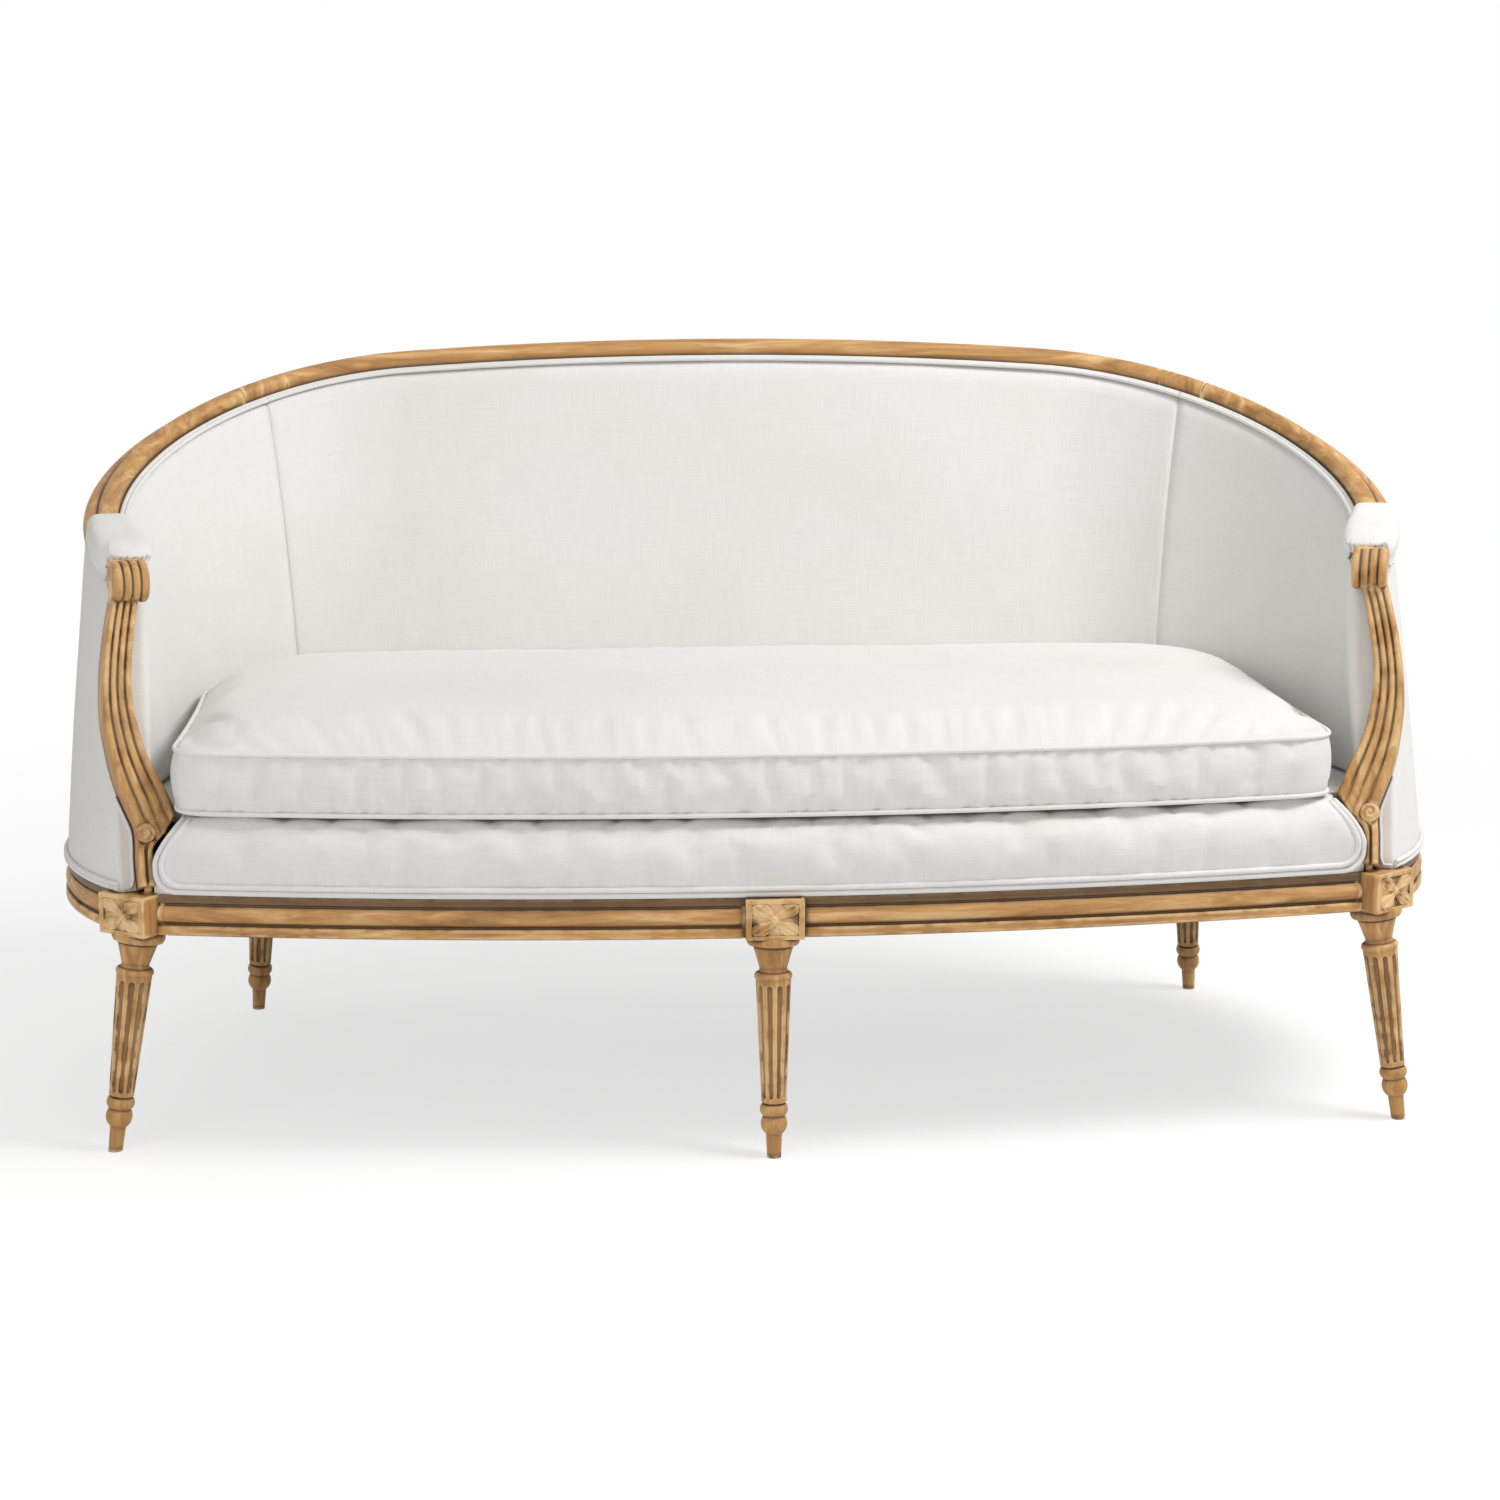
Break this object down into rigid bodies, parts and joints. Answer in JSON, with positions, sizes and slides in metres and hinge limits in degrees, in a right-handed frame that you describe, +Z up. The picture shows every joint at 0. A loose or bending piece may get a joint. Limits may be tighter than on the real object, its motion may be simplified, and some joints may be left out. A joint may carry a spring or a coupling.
{
  "type": "sofa",
  "caption": "Settee with a rounded back: waxed carved wood frame on turned fluted legs, off-white upholstery and one long loose seat cushion",
  "frame": {"origin": "on the floor under the middle of the sofa's bounding box", "axes": "+X along the seat to the right as seen from the front, the front faces -Y, +Z up"},
  "size_m": [1.8016, 0.8825, 0.9651],
  "materials": {
    "show_wood": "waxed, worn",
    "frame_wood": "plain",
    "cover_fabric": "fine plain weave",
    "jute": "coarse weave",
    "dust_cloth": "plain",
    "spring_steel": "drawn wire"
  },
  "bodies": {
    "frame": {"arm_pad_left": "cover_fabric", "arm_pad_right": "cover_fabric", "arm_rail_left": "show_wood", "arm_rail_right": "show_wood", "arm_support_left": "show_wood", "arm_support_right": "show_wood", "back_leg_left": "show_wood", "back_leg_right": "show_wood", "back_lower_rail": "frame_wood", "back_rail": "frame_wood", "back_webbing": "jute", "corner_blocks": "frame_wood", "crest_rail": "show_wood", "deck_welt": "cover_fabric", "dust_cover": "dust_cloth", "frame_dowels": "frame_wood", "front_leg_centre": "show_wood", "front_leg_left": "show_wood", "front_leg_right": "show_wood", "front_rail_left": "show_wood", "front_rail_right": "show_wood", "inner_arm_welt_left": "cover_fabric", "inner_arm_welt_right": "cover_fabric", "inner_back_welt": "cover_fabric", "inside_arm_left": "cover_fabric", "inside_arm_right": "cover_fabric", "inside_back": "cover_fabric", "outer_arm_welt_left": "cover_fabric", "outer_arm_welt_right": "cover_fabric", "outer_back_welt": "cover_fabric", "outside_arm_left": "cover_fabric", "outside_arm_right": "cover_fabric", "outside_back": "cover_fabric", "seat_deck": "cover_fabric", "seat_springs": "spring_steel", "seat_stretcher": "frame_wood", "seat_webbing": "jute", "side_lower_rail_left": "frame_wood", "side_lower_rail_right": "frame_wood", "side_rail_left": "show_wood", "side_rail_right": "show_wood", "spring_burlap": "jute"},
    "cushion": {"seat_cushion": "cover_fabric", "cushion_welt_lower": "cover_fabric", "cushion_welt_upper": "cover_fabric"}
  },
  "joints": [
    {"name": "cushion_lift", "type": "slide", "parent": "frame", "child": "cushion", "axis": [0, 0, 1], "range_m": [0, 0.6]}
  ]
}
